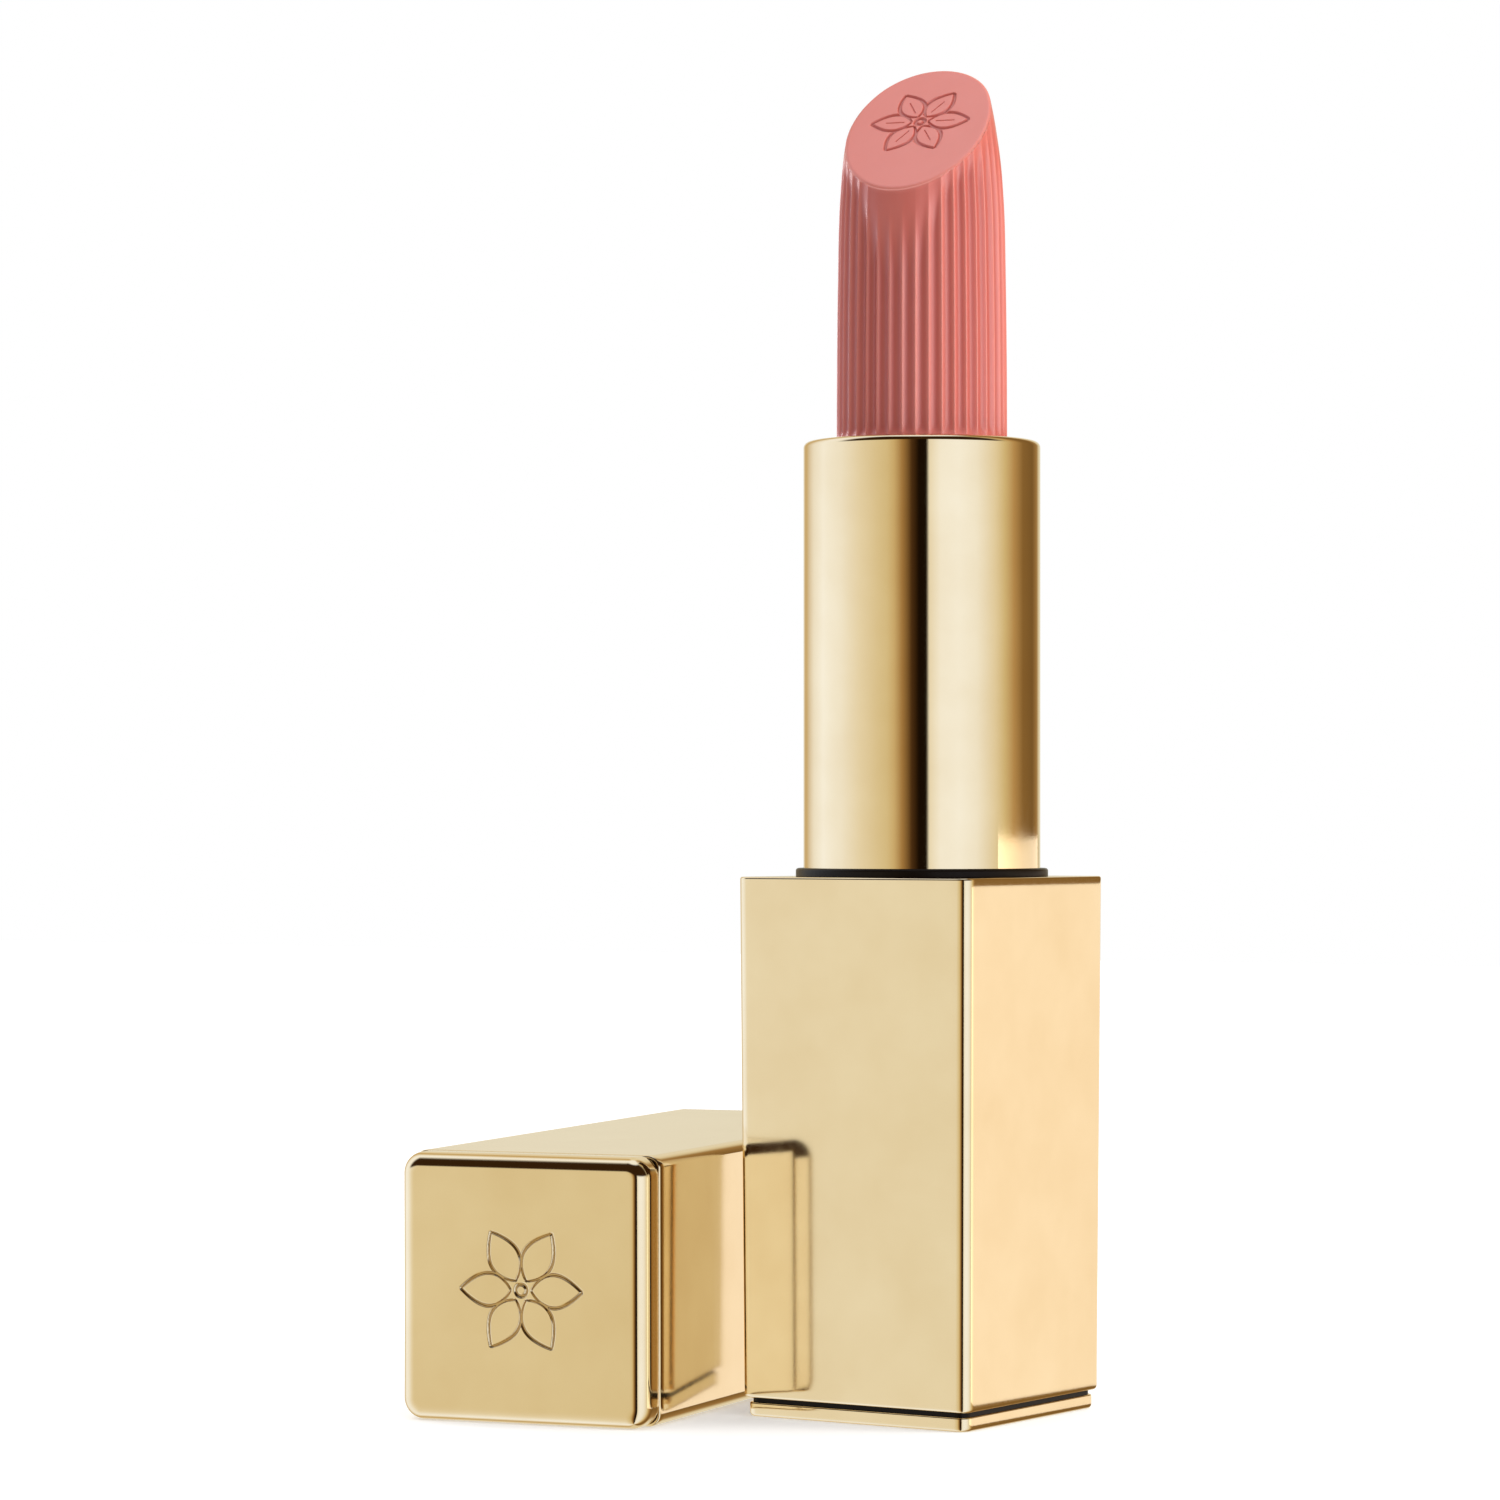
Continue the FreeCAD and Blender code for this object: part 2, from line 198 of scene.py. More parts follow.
# ------------------------------------------------------------------ materials
def gold_material(name, low, high, smooth, bright, engraved=False):
    """Bright gold anodising: a faint drift of tone, a very fine grain and hair-thin polish marks."""
    material, n, shader = new_material(name, Metallic=1.0)
    drift = n.noise(180.0, 3.0)
    grain = n.noise(9000.0, 2.0)
    tone = n.mix(n.spread(drift, 0.0, 1.0), low, high)
    # with engraved, the engraved lines are painted a darker brown: painted shade in the grooves
    if engraved:
        sunk = n.add("ShaderNodeAttribute", attribute_name="relief_light_shade").outputs["Fac"]
        tone = n.mix(n.math("MULTIPLY", sunk, -0.8, clamp=True), tone, (0.50, 0.33, 0.13))
    n.link(tone, shader.inputs["Base Color"])
    marks = n.noise(1400.0, 4.0, 0.6, (1.0, 1.0, 0.06))
    rough = n.math("ADD", n.spread(marks, smooth, bright), n.spread(grain, -0.01, 0.01))
    n.link(rough, shader.inputs["Roughness"])
    n.link(n.bump(grain, 0.03, 0.00001), shader.inputs["Normal"])
    return material


GOLD_LOW = (0.86, 0.70, 0.44)
GOLD_HIGH = (0.91, 0.765, 0.51)
gold = gold_material("gold_anodised", GOLD_LOW, GOLD_HIGH, 0.07, 0.10)
gold_end = gold_material("gold_end_anodised", GOLD_LOW, GOLD_HIGH, 0.07, 0.10, engraved=True)
gold_tube = gold_material("gold_tube_anodised", GOLD_LOW, GOLD_HIGH, 0.04, 0.06)


def plastic_material(name, low, high, rough, grain_scale, strength, shine=0.5):
    """Moulded plastic, rubber or paper: a slow drift of tone and a fine grain; shine is the specular level."""
    material, n, shader = new_material(name, Specular_IOR_Level=shine, Coat_Roughness=0.12)
    drift = n.noise(120.0, 3.0)
    n.link(n.mix(n.spread(drift, 0.0, 1.0), low, high), shader.inputs["Base Color"])
    grain = n.noise(grain_scale, 3.0)
    n.link(n.spread(grain, rough - 0.05, rough + 0.05), shader.inputs["Roughness"])
    n.link(n.bump(grain, strength, 0.00003), shader.inputs["Normal"])
    return material


DARK_LOW = (0.007, 0.004, 0.003)
DARK_HIGH = (0.012, 0.007, 0.005)
dark_plastic = plastic_material("dark_moulded", DARK_LOW, DARK_HIGH, 0.34, 2600.0, 0.2, 0.14)
liner_plastic = plastic_material("liner_moulded", (0.74, 0.71, 0.66), (0.80, 0.78, 0.73), 0.42, 1800.0, 0.3)
mech_plastic = plastic_material("natural_moulded", (0.80, 0.79, 0.76), (0.86, 0.85, 0.82), 0.38, 2200.0, 0.25)
seal_rubber = plastic_material("seal_rubber", (0.02, 0.02, 0.02), (0.045, 0.045, 0.045), 0.6, 3000.0, 0.4)
label_paper = plastic_material("label_paper", (0.80, 0.79, 0.76), (0.86, 0.85, 0.82), 0.7, 5000.0, 0.5)


def steel_material(name, tone, rough):
    material, n, shader = new_material(name, Metallic=1.0)
    drift = n.noise(300.0, 3.0)
    low = tuple(0.85 * v for v in tone)
    n.link(n.mix(n.spread(drift, 0.0, 1.0), low, tone), shader.inputs["Base Color"])
    lines = n.noise(1500.0, 3.0, 0.6, (1.0, 1.0, 0.05))
    n.link(n.spread(lines, rough - 0.07, rough + 0.07), shader.inputs["Roughness"])
    n.link(n.bump(lines, 0.2, 0.00002), shader.inputs["Normal"])
    return material


weight_steel = steel_material("weight_steel", (0.45, 0.45, 0.46), 0.42)
spring_steel = steel_material("spring_steel", (0.62, 0.62, 0.64), 0.28)


def wax_material():
    """Coral lipstick: dense satin wax with a faint pearl and slight variation along the stick."""
    material, n, shader = new_material(
        "lipstick_wax",
        Subsurface_Weight=0.12,
        Subsurface_Scale=0.0006,
        Coat_Weight=0.25,
        Coat_Roughness=0.30,
    )
    shader.inputs["Subsurface Radius"].default_value = (1.0, 0.35, 0.25)
    shader.inputs["Specular IOR Level"].default_value = 0.75
    cloud = n.noise(260.0, 3.0)
    fine = n.noise(5200.0, 2.0)
    streak = n.noise(900.0, 3.0, 0.55, (1.0, 1.0, 0.03))
    tone = n.mix(n.spread(cloud, 0.0, 1.0), (0.630, 0.140, 0.112), (0.665, 0.158, 0.128))
    tone = n.mix(n.math("MULTIPLY", n.spread(streak, 0.0, 1.0), 0.3), tone, (0.69, 0.185, 0.15))
    # painted light and shade: crests and the face's edge are painted paler as painted highlights, hollows and
    # engraved lines are painted darker as painted shade
    relief_light_shade = n.add("ShaderNodeAttribute", attribute_name="relief_light_shade").outputs["Fac"]
    tone = n.mix(n.math("MULTIPLY", relief_light_shade, 0.75, clamp=True), tone, (0.77, 0.26, 0.21))
    tone = n.mix(n.math("MULTIPLY", relief_light_shade, -0.75, clamp=True), tone, (0.46, 0.072, 0.056))
    n.link(tone, shader.inputs["Base Color"])
    n.link(n.spread(streak, 0.36, 0.46), shader.inputs["Roughness"])
    soft = n.bump(streak, 0.10, 0.00004)
    n.link(n.bump(fine, 0.12, 0.00001, soft), shader.inputs["Normal"])
    return material


wax = wax_material()

SLOTS = {
    "gold": gold,
    "dark_plastic": dark_plastic,
    "liner_plastic": liner_plastic,
    "mech_plastic": mech_plastic,
    "weight_steel": weight_steel,
    "spring_steel": spring_steel,
    "seal_rubber": seal_rubber,
    "label_paper": label_paper,
    "lipstick": wax,
}
for entry in frame["record"]["subparts"]:
    node = frame["nodes"][entry["node"]]
    for material_slot in node.material_slots:
        material_slot.material = SLOTS[entry["material_slot"]]


# ---------------------------------------------------------------- mesh pieces
def square_ring(side, radius, per_corner=14, per_side=40):
    """Points round a square with rounded corners, anticlockwise, in mm."""
    half = side / 2.0
    k = half - radius
    points = []
    for i in range(4):
        turn = math.pi / 2.0 * i
        c, s = math.cos(turn), math.sin(turn)
        local = [(half, -k + 2.0 * k * j / per_side) for j in range(per_side)]
        for j in range(per_corner):
            a = math.pi / 2.0 * j / per_corner
            local.append((k + radius * math.cos(a), k + radius * math.sin(a)))
        points += [(x * c - y * s, x * s + y * c) for x, y in local]
    return np.array(points)


def circle_like(ring, radius):
    """A circle with one point for each point of ring, at the same bearing."""
    bearing = np.arctan2(ring[:, 1], ring[:, 0])
    return np.stack([np.cos(bearing), np.sin(bearing)], 1) * radius


def circle_ring(radius, count):
    bearing = np.arange(count) * 2.0 * math.pi / count
    return np.stack([np.cos(bearing), np.sin(bearing)], 1) * radius


def at_height(ring, z):
    return np.column_stack([ring, np.full(len(ring), z)])


def skin_rings(name, rings, close=False, cap_first=False, cap_last=False, relief_light_shade=None):
    """A mesh through rings of equal length, in order; close joins the last ring to the first.

    The relief values give each point a number that its material reads as painted light and shade: above 0 is
    painted paler, below 0 is painted darker.
    """
    count = len(rings[0])
    points = np.concatenate(rings) * MM
    faces = []
    levels = len(rings)
    for level in range(levels if close else levels - 1):
        a = level * count
        b = ((level + 1) % levels) * count
        for i in range(count):
            j = (i + 1) % count
            faces.append((a + i, a + j, b + j, b + i))
    points = points.tolist()
    for wanted, level in ((cap_first, 0), (cap_last, levels - 1)):
        if wanted:
            middle = np.mean(rings[level], axis=0) * MM
            hub = len(points)
            points.append(middle.tolist())
            a = level * count
            for i in range(count):
                j = (i + 1) % count
                faces.append((a + j, a + i, hub) if level == 0 else (a + i, a + j, hub))
    mesh = bpy.data.meshes.new(name)
    mesh.from_pydata(points, [], faces)
    mesh.validate()
    mesh.update()
    if relief_light_shade is not None:
        values = np.zeros(len(points), dtype=np.float32)
        values[: levels * count] = np.concatenate(relief_light_shade)
        layer = mesh.attributes.new("relief_light_shade", "FLOAT", "POINT")
        layer.data.foreach_set("value", values)
    piece = bpy.data.objects.new(name, mesh)
    bpy.context.collection.objects.link(piece)
    return piece


def finish_piece(piece, body, replaced, material, weighted=True, place=None):
    mesh = piece.data
    if place is not None:
        mesh.transform(place)
    for polygon in mesh.polygons:
        polygon.use_smooth = True
    mesh.materials.append(material)
    if weighted:
        modifier = piece.modifiers.new("even_normals", "WEIGHTED_NORMAL")
        modifier.mode = "FACE_AREA"
        modifier.weight = 100
        modifier.keep_sharp = True
    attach(piece, body)
    if replaced:
        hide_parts(*replaced)
    return piece


def rounded_run(corners, radius_list, steps=6):
    """A profile of (r, z) corners with each corner rounded by its radius."""
    out = []
    count = len(corners)
    for i in range(count):
        radius = radius_list[i]
        p = np.array(corners[i], float)
        if radius <= 0.0:
            out.append(tuple(p))
            continue
        a = np.array(corners[i - 1], float) - p
        b = np.array(corners[(i + 1) % count], float) - p
        a /= np.linalg.norm(a)
        b /= np.linalg.norm(b)
        half = math.acos(max(-1.0, min(1.0, float(a @ b)))) / 2.0
        reach = radius / math.tan(half)
        centre = p + (a + b) / np.linalg.norm(a + b) * radius / math.sin(half)
        start = p + a * reach - centre
        end = p + b * reach - centre
        sweep = math.pi - 2.0 * half
        for j in range(steps + 1):
            t = j / steps
            w0 = math.sin((1.0 - t) * sweep) / math.sin(sweep)
            w1 = math.sin(t * sweep) / math.sin(sweep)
            out.append(tuple(centre + start * w0 + end * w1))
    return out


def turned(name, profile, count=256):
    """A closed profile of (r, z) turned about the axis."""
    return skin_rings(name, [at_height(circle_ring(r, count), z) for r, z in profile], close=True)


def base_side(z):
    share = (z - SLEEVE_BOTTOM_Z) / (BASE_HEIGHT - SLEEVE_BOTTOM_Z)
    return BASE_FOOT_SIDE + share * (BASE_TOP_SIDE - BASE_FOOT_SIDE)


def arc_steps(radius, steps):
    """(inset, rise) pairs of a quarter round, from the side to the end."""
    for j in range(steps + 1):
        a = math.pi / 2.0 * j / steps
        yield radius * (1.0 - math.cos(a)), radius * math.sin(a)


# Base sleeve: tapered square tube with a closed top and a round hole
rings = []
inner_low = base_side(SLEEVE_BOTTOM_Z) - 2.0 * SLEEVE_WALL
inner_top_z = BASE_HEIGHT - SLEEVE_TOP_WALL
inner_high = base_side(inner_top_z) - 2.0 * SLEEVE_WALL
rings.append(at_height(square_ring(inner_low, 0.45), SLEEVE_BOTTOM_Z))
for inset, rise in reversed(list(arc_steps(0.3, 6))):
    z = SLEEVE_BOTTOM_Z + 0.3 - rise
    rings.append(at_height(square_ring(base_side(z) - 2.0 * inset, 0.9 - inset), z))
for z in (2.2, 6.0, 12.0, 20.0, 28.0, 34.0, 37.2):
    rings.append(at_height(square_ring(base_side(z), 0.9), z))
for inset, rise in arc_steps(0.16, 5):
    z = BASE_HEIGHT - 0.16 + rise
    rings.append(at_height(square_ring(base_side(z) - 2.0 * inset, 0.9 - inset), z))
hole = circle_like(square_ring(BASE_TOP_SIDE, 0.9), SLEEVE_HOLE)
rings.append(at_height(square_ring(BASE_TOP_SIDE - 0.5, 0.75), BASE_HEIGHT))
rings.append(at_height(hole * 1.02, BASE_HEIGHT))
rings.append(at_height(hole * 1.005, BASE_HEIGHT))
rings.append(at_height(hole, BASE_HEIGHT - 0.04))
rings.append(at_height(hole, inner_top_z))
rings.append(at_height(square_ring(inner_high, 0.45), inner_top_z))
base_sleeve = skin_rings("base_sleeve_skin", rings, close=True)
finish_piece(base_sleeve, "case", ["base_sleeve"], gold)

# Foot plate with a shallow round recess for the label
rings = []
recess = circle_like(square_ring(PLATE_SIDE, 0.9), LABEL_RADIUS + 0.3)
rings.append(at_height(recess * 0.02, LABEL_RECESS))
rings.append(at_height(recess, LABEL_RECESS))
rings.append(at_height(recess * 1.003, 0.0))
rings.append(at_height(square_ring(PLATE_SIDE - 1.4, 0.6), 0.0))
for inset, rise in reversed(list(arc_steps(0.3, 6))):
    rings.append(at_height(square_ring(PLATE_SIDE - 2.0 * inset, 0.9 - inset), 0.3 - rise))
for inset, rise in arc_steps(0.12, 4):
    z = PLATE_HEIGHT - 0.12 + rise
    rings.append(at_height(square_ring(PLATE_SIDE - 2.0 * inset, 0.9 - inset), z))
rings.append(at_height(square_ring(PLATE_SIDE - 1.0, 0.6), PLATE_HEIGHT))
rings.append(at_height(recess * 0.02, PLATE_HEIGHT))
plate = skin_rings("foot_plate_skin", rings, close=True)
finish_piece(plate, "case", ["bottom_plate"], gold)

# Dark collar
profile = rounded_run(
    [
        (COLLAR_INNER, BASE_HEIGHT - 0.55),
        (COLLAR_SKIRT, BASE_HEIGHT - 0.55),
        (COLLAR_SKIRT, BASE_HEIGHT),
        (COLLAR_OUTER, BASE_HEIGHT),
        (COLLAR_OUTER, BASE_HEIGHT + COLLAR_PROUD),
        (COLLAR_INNER, BASE_HEIGHT + COLLAR_PROUD),
    ],
    [0.03, 0.03, 0.0, 0.04, 0.2, 0.1],
)
collar = turned("collar_skin", profile)
finish_piece(collar, "case", ["collar_ring"], dark_plastic)

# Gold tube with the rolled-in rim
profile = rounded_run(
    [
        (SHELL_INNER, SHELL_BOTTOM),
        (SHELL_OUTER, SHELL_BOTTOM),
        (SHELL_OUTER, 30.0),
        (SHELL_OUTER, 45.0),
        (SHELL_OUTER, 60.0),
        (SHELL_OUTER, SHELL_TOP),
        (RIM_INNER, SHELL_TOP),
        (RIM_INNER, SHELL_TOP - 0.35),
        (SHELL_INNER - 0.1, SHELL_TOP - 0.35),
        (SHELL_INNER, SHELL_TOP - 0.5),
        (SHELL_INNER, 50.0),
        (SHELL_INNER, 38.0),
    ],
    [0.05, 0.12, 0.0, 0.0, 0.0, 0.42, 0.14, 0.1, 0.0, 0.0, 0.0, 0.0],
    8,
)
shell = turned("gold_tube_skin", profile, 320)
finish_piece(shell, "shell", ["outer_shell"], gold_tube)

# ------------------------------------------------------------------ the stick
STICK_PROFILE = [
    (6.08, 56.8),
    (6.08, 68.5),
    (6.05, 75.0),
    (5.99, 80.0),
    (5.83, 86.0),
    (5.59, 88.9),
    (5.38, 90.4),
    (5.15, 91.8),
    (4.83, 93.3),
    (4.38, 94.8),
    (3.70, 96.1),
    (2.30, 97.3),
    (0.0, 97.9),
]


def smooth_table(samples=400):
    """The stick's radius against height, as a smooth curve through the profile's points."""
    points = np.array(STICK_PROFILE[1:], float)
    gaps = np.concatenate([[0.0], np.cumsum(np.hypot(*np.diff(points, axis=0).T))])
    steps = np.linspace(0.0, gaps[-1], samples)
    slopes = np.gradient(points, gaps, axis=0)
    index = np.clip(np.searchsorted(gaps, steps, side="right") - 1, 0, len(gaps) - 2)
    width = (gaps[index + 1] - gaps[index])[:, None]
    t = ((steps - gaps[index]) / width[:, 0])[:, None]
    curve = (
        points[index] * (1 + 2 * t) * (1 - t) ** 2
        + points[index + 1] * t * t * (3 - 2 * t)
        + slopes[index] * width * t * (1 - t) ** 2
        - slopes[index + 1] * width * t * t * (1 - t)
    )
    return curve


STICK_CURVE = smooth_table()


def stick_radius(z):
    return np.interp(z, STICK_CURVE[:, 1], STICK_CURVE[:, 0])


def ease(value, low, high):
    t = np.clip((value - low) / (high - low), 0.0, 1.0)
    return t * t * (3.0 - 2.0 * t)


# the face climbs towards +Y, turned a little towards -X
CLIMB = np.array([-math.sin(FACE_TURN), math.cos(FACE_TURN)])
ACROSS = np.array([CLIMB[1], -CLIMB[0]])


def rosette_depth(u, v, size, width):
    """How far a point of the plane lies inside the engraved lines of a plain six-petal rosette, 0 to 1."""
    r = np.hypot(u, v)
    best = np.full(np.shape(u), 1e3)
    for turn in range(6):
        bearing = turn * math.pi / 3.0
        x = u * math.cos(bearing) + v * math.sin(bearing)
        y = -u * math.sin(bearing) + v * math.cos(bearing)
        s = np.clip((x / size - 0.16) / 0.78, 0.0, 1.0)
        half = size * 0.235 * np.sin(math.pi * s ** 0.85) ** 0.9
        inside = (x > 0.15 * size) & (x < 0.95 * size)
        edge = np.where(inside, np.abs(np.abs(y) - half), 1e3)
        vein = np.where((x > 0.30 * size) & (x < 0.66 * size), np.abs(y) + 0.03 * size, 1e3)
        best = np.minimum(best, np.minimum(edge, vein))
    best = np.minimum(best, np.abs(r - 0.085 * size))
    return 1.0 - ease(best, width * 0.35, width)


def build_stick():
    around = FLUTES * 14
    angle = np.arange(around) * 2.0 * math.pi / around
    unit = np.stack([np.cos(angle), np.sin(angle)], 1)
    lean = FACE_SLOPE * (unit @ CLIMB)
    # where the side meets the slanted face, found by halving
    low = np.full(around, 80.0)
    high = np.full(around, 97.89)
    for _ in range(50):
        middle = (low + high) / 2.0
        above = middle - (FACE_LEVEL + stick_radius(middle) * lean) > 0.0
        high = np.where(above, middle, high)
        low = np.where(above, low, middle)
    edge_z = (low + high) / 2.0
    edge_r = stick_radius(edge_z)
    rings = []
    relief_light_shade = []
    # soft facets drawn down the side: a hollow between crests, uneven by a little
    wobble = 0.5 + 0.5 * np.sin(angle * 7.0 + 1.3) * np.sin(angle * 3.0 + 0.4)
    hollow = np.abs(np.sin(angle * FLUTES / 2.0)) ** 0.85
    low_side = ease(-(unit @ CLIMB), 0.80, 1.0)
    side_levels = np.concatenate([
        [0.0, 0.004], np.linspace(0.02, 0.30, 8)[:-1], np.linspace(0.30, 0.985, 76), [0.992, 0.996],
    ])
    for t in side_levels:
        z = STICK_FOOT_Z + t * (edge_z - STICK_FOOT_Z)
        r = stick_radius(z)
        fade = ease(z, 68.6, 69.6) * (1.0 - ease(z, 84.0 + 3.5 * wobble, 91.5 + 2.0 * wobble))
        reach = 1.6 + 5.0 * low_side
        near_edge = 1.0 - (0.5 + 0.5 * low_side) * ease((z - edge_z) / reach, -1.0, -0.15)
        depth = FLUTE_DEPTH * fade * near_edge
        r = r - 0.02 - depth * hollow * (0.85 + 0.3 * wobble)
        if t == 0.0:
            r = r - 0.1
        rings.append(np.column_stack([unit * r[:, None], z]))
        # painted light and shade: flute crests painted paler and hollows darker, and a painted highlight over
        # the last 0.35 mm below the face's edge
        crest_light_shade = (1.0 - ease(hollow, 0.1, 0.9)) * 1.6 - 0.8
        relief_light_shade.append(crest_light_shade * fade * near_edge + ease(z - edge_z, -0.35, 0.0))
    # the face: inwards from the edge over a small round, with the engraved rosette
    centre = np.mean(unit * edge_r[:, None], axis=0)
    rim = unit * edge_r[:, None] - centre
    normal = np.array([-FACE_SLOPE * CLIMB[0], -FACE_SLOPE * CLIMB[1], 1.0])
    normal /= np.linalg.norm(normal)
    slant = math.sqrt(1.0 + FACE_SLOPE ** 2)
    for share in np.concatenate([[0.9975, 0.993, 0.987, 0.98, 0.97], np.linspace(0.955, 0.004, 170)]):
        flat = rim * share + centre
        z = FACE_LEVEL + FACE_SLOPE * (flat @ CLIMB)
        out = (1.0 - share) * 5.2
        drop = 0.12 * (1.0 - min(1.0, out / 0.2)) ** 2
        u = (flat - centre) @ ACROSS
        v = ((flat - centre) @ CLIMB) * slant
        sink = STICK_ENGRAVING * rosette_depth(u, v - 0.1, 3.9, 0.19)
        crown = 0.05 * (1.0 - (out / 5.2)) ** 2
        points = np.column_stack([flat, z]) - normal * (drop + sink + crown * 0.4)[:, None]
        rings.append(points)
        # painted light and shade: a painted highlight within 0.22 mm of the face's edge and painted shade in
        # the engraved rosette
        relief_light_shade.append((1.0 - ease(np.full(around, out), 0.0, 0.22)) - sink / STICK_ENGRAVING)
    return skin_rings("stick_wax", rings, cap_first=True, cap_last=True, relief_light_shade=relief_light_shade)


stick = build_stick()
finish_piece(stick, "carrier", ["lipstick_bullet"], wax, weighted=False)

# -------------------------------------------------------------------- the cap
cap_place = (
    Matrix.Translation(Vector((CAP_CORNER[0], CAP_CORNER[1], 0.0)) * MM)
    @ Matrix.Rotation(CAP_TURN, 4, "Z")
    @ Matrix.Translation(Vector((-CAP_END_SIDE / 2.0, 0.0, CAP_END_SIDE / 2.0 * math.cos(CAP_LEAN))) * MM)
    @ Matrix.Rotation(-math.pi / 2.0 + CAP_LEAN, 4, "X")
)


def cap_side(z):
    return CAP_END_SIDE + (CAP_MOUTH_SIDE - CAP_END_SIDE) * z / CAP_LENGTH


# End piece with a rounded edge and the engraved rosette on its face
rings = []
per = dict(per_corner=30, per_side=150)
back_ring = square_ring(cap_side(CAP_END_DEPTH) - 1.2, CAP_END_CORNER - 0.4, **per)
rings.append(at_height(back_ring, CAP_END_DEPTH))
for inset, rise in reversed(list(arc_steps(0.12, 4))):
    z = CAP_END_DEPTH - 0.12 + rise
    rings.append(at_height(square_ring(cap_side(z) - 2.0 * inset, CAP_END_CORNER - inset, **per), z))
for z in (2.0, 1.6, 1.3):
    rings.append(at_height(square_ring(cap_side(z), CAP_END_CORNER, **per), z))
for inset, rise in arc_steps(CAP_END_ROUND, 16):
    z = CAP_END_ROUND - rise
    rings.append(at_height(square_ring(cap_side(z) - 2.0 * inset, CAP_END_CORNER - inset, **per), z))
face_ring = square_ring(cap_side(0.0) - 2.0 * CAP_END_ROUND, CAP_END_CORNER - CAP_END_ROUND, **per)
# painted shade: the rosette's engraved lines get negative relief values, which the end's material paints
# darker
relief_light_shade = [np.zeros(len(face_ring)) for _ in rings]
for share in np.linspace(0.985, 0.004, 200):
    flat = face_ring * share
    sunk = rosette_depth(flat[:, 0], flat[:, 1], 4.9, 0.14)
    rings.append(np.column_stack([flat, END_ENGRAVING * sunk]))
    relief_light_shade.append(-sunk)
cap_end = skin_rings("cap_end_skin", rings[::-1], cap_first=True, cap_last=True, relief_light_shade=relief_light_shade[::-1])
finish_piece(cap_end, "cap", ["cap_end"], gold_end, weighted=False, place=cap_place)

# Cap sleeve
seam_z = CAP_END_DEPTH + CAP_SEAM
rings = []
for z in (seam_z, 25.0, CAP_LENGTH):
    rings.append(at_height(square_ring(cap_side(z) - 2.0 * SLEEVE_WALL, 0.45), z))
for inset, rise in reversed(list(arc_steps(0.16, 5))):
    z = CAP_LENGTH - 0.16 + rise
    rings.append(at_height(square_ring(cap_side(z) - 2.0 * inset, 0.9 - inset), z))
for z in (49.2, 44.0, 36.0, 28.0, 20.0, 12.0, 6.0, 3.3):
    rings.append(at_height(square_ring(cap_side(z), 0.9), z))
for inset, rise in arc_steps(0.12, 4):
    z = seam_z + 0.12 - rise
    rings.append(at_height(square_ring(cap_side(z) - 2.0 * inset, 0.9 - inset), z))
cap_sleeve = skin_rings("cap_sleeve_skin", rings[::-1], close=True)
finish_piece(cap_sleeve, "cap", ["cap_sleeve"], gold, place=cap_place)

# Cap lining: square outside, round bore with a lead-in at the mouth
outline = square_ring(cap_side(CAP_LENGTH) - 1.1, 0.5)
lining_top = CAP_LENGTH - 0.25
grip_z = CAP_LENGTH - 6.0
bore = [
    (0.02, CAP_CORE_TOP + 0.9),
    (CAP_BORE - 0.3, CAP_CORE_TOP + 0.9),
    (CAP_BORE, CAP_CORE_TOP + 1.2),
    (CAP_BORE, 24.0),
    (CAP_BORE, grip_z),
    (8.86, grip_z + 0.02),
    (8.86, grip_z + 1.98),
    (CAP_BORE, grip_z + 2.0),
    (CAP_BORE, lining_top - 0.7),
    (8.86, lining_top - 0.05),
    (8.90, lining_top),
    (8.93, lining_top),
]
rings = [at_height(circle_like(outline, r), z) for r, z in bore]
rings.append(at_height(outline * 0.996, lining_top))
rings.append(at_height(outline, lining_top - 0.05))
for z in (30.0, CAP_CORE_TOP):
    rings.append(at_height(square_ring(cap_side(z) - 1.1, 0.5), z))
rings.append(at_height(circle_like(outline, 0.02), CAP_CORE_TOP))
lining = skin_rings("cap_lining_skin", rings[::-1], close=True)
finish_piece(lining, "cap", ["cap_liner"], liner_plastic, place=cap_place)


# --------------------------------------------------------------------- studio
def heading_point(side, away, up):
    """A point given across, away from and above the camera's view of the base, in mm."""
    c, s = math.cos(HEADING), math.sin(HEADING)
    return Vector((side * c - away * s, side * s + away * c, up)) * MM


FLOOR_HALF = 1.0
floor_mesh = bpy.data.meshes.new("studio_floor")
floor_mesh.from_pydata(
    [(x * FLOOR_HALF, y * FLOOR_HALF, 0.0) for x, y in ((-1, -1), (1, -1), (1, 1), (-1, 1))],
    [],
    [(0, 1, 2, 3)],
)
floor = bpy.data.objects.new("studio_floor", floor_mesh)
bpy.context.collection.objects.link(floor)
floor.location.z = -0.00002
floor_material, n, shader = new_material("studio_floor", Roughness=0.9, Emission_Strength=0.30)
shader.inputs["Emission Color"].default_value = (1.0, 1.0, 1.0, 1.0)
shader.inputs["Specular IOR Level"].default_value = 0.0
floor_tone = n.mix(n.spread(n.noise(30.0), 0.0, 1.0), (0.93, 0.93, 0.93), (0.95, 0.95, 0.95))
n.link(floor_tone, shader.inputs["Base Color"])
floor_mesh.materials.append(floor_material)
floor.visible_diffuse = False
floor.visible_glossy = False

# Tones of light in the room, from the palest soft box to the darkest flag
LIGHT = [
    (1.10, 1.22, 1.50),
    (1.06, 1.16, 1.40),
    (0.96, 1.00, 1.08),
    (0.86, 0.82, 0.70),
    (0.71, 0.61, 0.37),
    (0.61, 0.44, 0.22),
    (0.46, 0.28, 0.108),
    (0.24, 0.137, 0.045),
    (0.077, 0.036, 0.012),
    (0.010, 0.005, 0.002),
]


